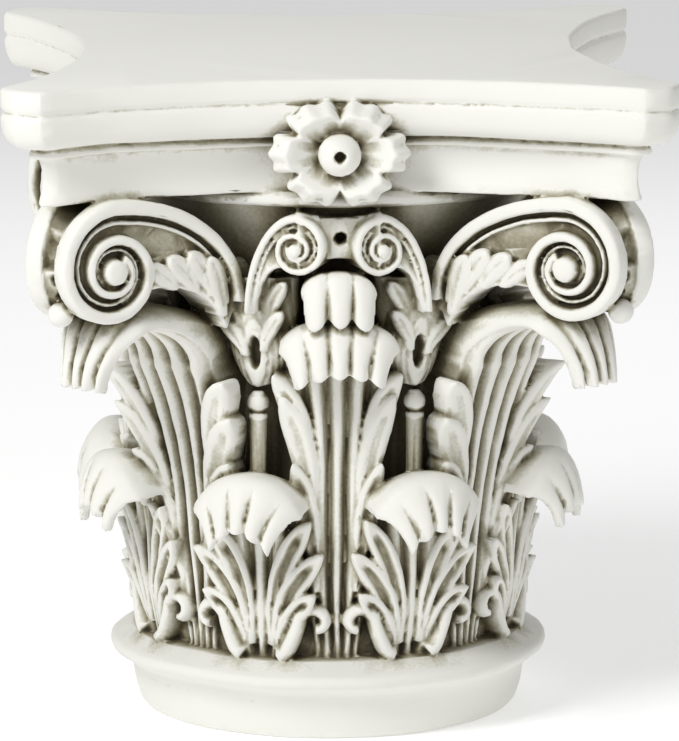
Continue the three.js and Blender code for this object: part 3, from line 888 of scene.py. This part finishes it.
def roughen(piece):
    # slight unevenness of a hand-finished mould, the same on each run
    noise.seed_set(uneven["seed"])
    for vert in piece.data.vertices:
        vert.co += noise.noise_vector(vert.co * uneven["scale"]) * uneven["amount"]
        vert.co += noise.noise_vector(vert.co * uneven["fineScale"]) * uneven["fineAmount"]


def keepInBox(piece):
    low, high = cadBox
    for vert in piece.data.vertices:
        for axis in range(3):
            vert.co[axis] = min(max(vert.co[axis], low[axis]), high[axis])


# Where the wash stays and where shade is painted in: a share from 0 in the deepest hollow to 1 in
# the open

washAndShade = {"rays": 20, "spread": 0.92, "reach": 44 * mm, "lift": 0.4 * mm, "nearness": 0.7}


def rayDirections(count):
    directions = []
    for index in range(count):
        up = 1 - (index + 0.5) / count * washAndShade["spread"]
        angle = index * pi * (3 - sqrt(5))
        flat = sqrt(1 - up * up)
        directions.append(Vector((flat * cos(angle), flat * sin(angle), up)))
    return directions


# ray-cast openness: its low values paint shade into hollows and under the slab, as well as marking
# where the wash lies
def addOpenness(piece):
    mesh = piece.data
    points = [vert.co for vert in mesh.vertices]
    tree = BVHTree.FromPolygons(points, [tuple(face.vertices) for face in mesh.polygons])
    directions = rayDirections(washAndShade["rays"])
    total = sum(direction.z for direction in directions)
    openness = []
    for vert in mesh.vertices:
        normal = vert.normal
        turn = normal.to_track_quat("Z", "Y")
        start = vert.co + normal * washAndShade["lift"]
        free = 0
        for direction in directions:
            hit = tree.ray_cast(start, turn @ direction, washAndShade["reach"])
            near = 1 if hit[0] is None else (hit[3] / washAndShade["reach"]) ** washAndShade["nearness"]
            free += near * direction.z
        openness.append(free / total)
    curve = [0.0] * len(mesh.vertices)
    joined = [0] * len(mesh.vertices)
    soft = [0.0] * len(mesh.vertices)
    for edge in mesh.edges:
        one, two = edge.vertices
        step = mesh.vertices[two].co - mesh.vertices[one].co
        length = max(step.length, 1e-6)
        curve[one] -= mesh.vertices[one].normal.dot(step) / length
        curve[two] += mesh.vertices[two].normal.dot(step) / length
        soft[one] += openness[two]
        soft[two] += openness[one]
        joined[one] += 1
        joined[two] += 1
    openValues = mesh.attributes.new("open", "FLOAT", "POINT")
    edgeValues = mesh.attributes.new("edge", "FLOAT", "POINT")
    for index in range(len(mesh.vertices)):
        count = max(joined[index], 1)
        openValues.data[index].value = 0.5 * openness[index] + 0.5 * soft[index] / count
        edgeValues.data[index].value = curve[index] / count
    print("openness measured")


# Shader maths on sockets

class Link:
    def __init__(self, maker, socket):
        self.maker = maker
        self.socket = socket

    def math(self, operation, other, swap=False):
        first, second = (other, self) if swap else (self, other)
        return self.maker.node("ShaderNodeMath", {"operation": operation}, {0: first, 1: second})

    def __add__(self, other):
        return self.math("ADD", other)

    def __radd__(self, other):
        return self.math("ADD", other, True)

    def __sub__(self, other):
        return self.math("SUBTRACT", other)

    def __rsub__(self, other):
        return self.math("SUBTRACT", other, True)

    def __mul__(self, other):
        return self.math("MULTIPLY", other)

    def __rmul__(self, other):
        return self.math("MULTIPLY", other, True)


class Maker:
    def __init__(self, name):
        self.material = bpy.data.materials.new(name)
        self.material.use_nodes = True
        self.tree = self.material.node_tree
        self.tree.nodes.clear()

    def node(self, kind, settings=None, inputs=None, output=0):
        made = self.tree.nodes.new(kind)
        for key, value in (settings or {}).items():
            if key == "stops":
                self.setStops(made.color_ramp, value)
            else:
                setattr(made, key, value)
        for key, value in (inputs or {}).items():
            if isinstance(value, Link):
                self.tree.links.new(value.socket, made.inputs[key])
            else:
                made.inputs[key].default_value = value
        return Link(self, made.outputs[output]) if len(made.outputs) else made

    def setStops(self, ramp, stops):
        while len(ramp.elements) < len(stops):
            ramp.elements.new(0.5)
        for element, (place, colour) in zip(ramp.elements, stops):
            element.position = place
            element.color = (*colour, 1)

    def mixColour(self, share, first, second):
        settings = {"data_type": "RGBA", "blend_type": "MIX"}
        return self.node("ShaderNodeMix", settings, {0: share, 6: first, 7: second}, output=2)

    def smooth(self, value, low, high):
        settings = {"interpolation_type": "SMOOTHSTEP"}
        return self.node("ShaderNodeMapRange", settings, {0: value, 1: low, 2: high})

    def noise(self, place, scale, detail):
        inputs = {"Vector": place, "Scale": scale, "Detail": detail}
        return self.node("ShaderNodeTexNoise", inputs=inputs)


# Cream cast stone with the wash and painted shade in its hollows. Heights are in metres.

stone = {
    "cloudScale": 22.0, "speckScale": 420.0, "grainScale": 1500.0, "patchyWash": 0.16,
    "slabFrom": 0.373, "slabTo": 0.379, "slabClean": 0.14,
    "footFrom": 0.044, "footTo": 0.058, "footClean": 0.12,
    "edgeClean": 1.1, "rubbed": (0.84, 0.835, 0.795, 1), "rubbedShare": 0.55,
    "roughness": 0.62, "washRoughness": 0.2, "specular": 0.35,
    "bump": 0.12, "bumpHeight": 0.0006,
    # low stops are painted shade as well as wash, near black in the deepest hollows
    "stops": [
        (0.0, (0.020, 0.015, 0.007)),
        (0.38, (0.056, 0.045, 0.023)),
        (0.56, (0.150, 0.128, 0.074)),
        (0.71, (0.345, 0.320, 0.232)),
        (0.85, (0.570, 0.555, 0.470)),
        (0.97, (0.800, 0.795, 0.745)),
    ],
}


def castStone():
    maker = Maker("washedAndShadedCastStone")
    place = maker.node("ShaderNodeTexCoord", output=3)
    openness = maker.node("ShaderNodeAttribute", {"attribute_name": "open"}, output=2)
    edge = maker.node("ShaderNodeAttribute", {"attribute_name": "edge"}, output=2)
    cloud = maker.noise(place, stone["cloudScale"], 4.0)
    speck = maker.noise(place, stone["speckScale"], 3.0)
    grain = maker.noise(place, stone["grainScale"], 2.0)
    height = maker.node("ShaderNodeSeparateXYZ", inputs={0: place}, output=2)
    onSlab = maker.smooth(height, stone["slabFrom"], stone["slabTo"])
    onFoot = 1 - maker.smooth(height, stone["footFrom"], stone["footTo"])
    clean = onSlab * stone["slabClean"] + onFoot * stone["footClean"]
    patchy = stone["patchyWash"]
    # low openness darkens the colour: the wash and painted shade together
    depth = openness + clean + (cloud - 0.5) * patchy + (speck - 0.5) * patchy
    depth = depth + edge * stone["edgeClean"]
    colour = maker.node("ShaderNodeValToRGB", {"stops": stone["stops"]}, {"Fac": depth})
    bright = maker.smooth(edge, 0.05, 0.4) * stone["rubbedShare"]
    colour = maker.mixColour(bright, colour, stone["rubbed"])
    hidden = 1 - maker.smooth(openness, 0.2, 0.7)
    rough = stone["roughness"] + hidden * stone["washRoughness"]
    relief = grain * 0.25 + speck * 0.75
    bump = maker.node("ShaderNodeBump", inputs={
        "Strength": stone["bump"], "Distance": stone["bumpHeight"], "Height": relief,
    })
    surface = maker.node("ShaderNodeBsdfPrincipled", inputs={
        "Base Color": colour, "Roughness": rough, "Normal": bump,
        "Specular IOR Level": stone["specular"],
    })
    maker.node("ShaderNodeOutputMaterial", inputs={"Surface": surface})
    return maker.material


def makeCapital():
    whole = bmesh.new()
    makeSlab(whole)
    makeCore(whole)
    makeLeaves(whole)
    makeScrolls(whole)
    makeWeb(whole)
    makeStems(whole)
    makeFlowers(whole)
    print("forms made", len(whole.verts), "points")
    piece = fuse(whole)
    keepSkin(piece)
    roughen(piece)
    keepInBox(piece)
    piece.data.shade_smooth()
    addOpenness(piece)
    piece.data.materials.append(castStone())
    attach(piece, "root")
    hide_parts("capital")


makeCapital()


# Floor, lights and camera

studio = {
    "floorSize": 30, "floorColour": (0.9, 0.9, 0.9, 1), "floorGlow": 0.3, "worldLight": 0.36,
    "pitch": 10.5, "azimuth": -2.56, "distance": 4.224,
    "lens": 301.2, "sensor": 36, "aim": 0.227, "shift": 0.0155,
}
lamps = [  # name, place, aim, size and power
    ("key", (-1.3, -1.5, 1.9), (0, 0, 0.25), 1.0, 42),
    ("fill", (1.8, -1.6, 0.9), (0, 0, 0.25), 1.6, 6),
    ("back", (0.3, 1.8, 1.7), (0, 0, 0.3), 1.6, 10),
]


def makeFloor():
    bm = bmesh.new()
    bmesh.ops.create_grid(bm, x_segments=1, y_segments=1, size=studio["floorSize"] / 2)
    mesh = bpy.data.meshes.new("floor")
    bm.to_mesh(mesh)
    bm.free()
    floor = bpy.data.objects.new("floor", mesh)
    scene.collection.objects.link(floor)
    maker = Maker("paleFloor")
    surface = maker.node("ShaderNodeBsdfPrincipled", inputs={
        "Base Color": studio["floorColour"], "Roughness": 0.9,
        "Emission Color": (1, 1, 1, 1), "Emission Strength": studio["floorGlow"],
    })
    maker.node("ShaderNodeOutputMaterial", inputs={"Surface": surface})
    mesh.materials.append(maker.material)


def makeLight(name, place, aim, size, power):
    light = bpy.data.lights.new(name, "AREA")
    light.size = size
    light.energy = power
    lamp = bpy.data.objects.new(name, light)
    lamp.location = place
    lamp.rotation_euler = (Vector(aim) - Vector(place)).to_track_quat("-Z", "Y").to_euler()
    scene.collection.objects.link(lamp)


def makeCamera():
    pitch, azimuth = radians(studio["pitch"]), radians(studio["azimuth"])
    back = Vector((sin(azimuth) * cos(pitch), -cos(azimuth) * cos(pitch), sin(pitch)))
    data = bpy.data.cameras.new("camera")
    data.lens = studio["lens"]
    data.sensor_width = studio["sensor"]
    data.sensor_fit = "AUTO"
    data.shift_x = studio["shift"]
    camera = bpy.data.objects.new("camera", data)
    camera.location = Vector((0, 0, studio["aim"])) + back * studio["distance"]
    camera.rotation_euler = back.to_track_quat("Z", "Y").to_euler()
    scene.collection.objects.link(camera)
    scene.camera = camera


makeFloor()
for lamp in lamps:
    makeLight(*lamp)
makeCamera()
world = bpy.data.worlds.new("studio")
world.use_nodes = True
background = world.node_tree.nodes["Background"]
background.inputs["Color"].default_value = (1, 1, 1, 1)
background.inputs["Strength"].default_value = studio["worldLight"]
scene.world = world
scene.view_settings.view_transform = "Standard"
print("studio set")
